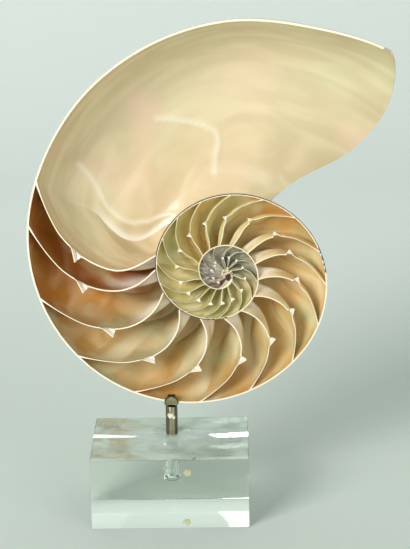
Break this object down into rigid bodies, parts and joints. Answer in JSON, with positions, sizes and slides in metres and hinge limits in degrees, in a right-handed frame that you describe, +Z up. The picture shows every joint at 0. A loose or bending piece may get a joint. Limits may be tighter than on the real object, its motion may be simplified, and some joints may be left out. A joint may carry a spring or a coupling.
{
  "type": "sectioned nautilus shell half on display stand",
  "caption": "Half of a sawn chambered nautilus shell, held by a small clip and post above a clear block that rests on a surface.",
  "frame": {"origin": "middle of the clear block's underside, which rests on a surface", "axes": "+Z up; the shell's sawn face looks towards -Y and its back bulges towards +Y; the aperture is towards +X and up"},
  "size_m": [0.1529, 0.0759, 0.2057],
  "materials": {
    "nacre_shell": "satin",
    "clear_acrylic": "gloss",
    "steel_post": "satin",
    "clip_metal": "satin"
  },
  "bodies": {
    "root": {"shell_half": "nacre_shell", "acrylic_block": "clear_acrylic", "post": "steel_post", "clip": "clip_metal"}
  },
  "joints": []
}
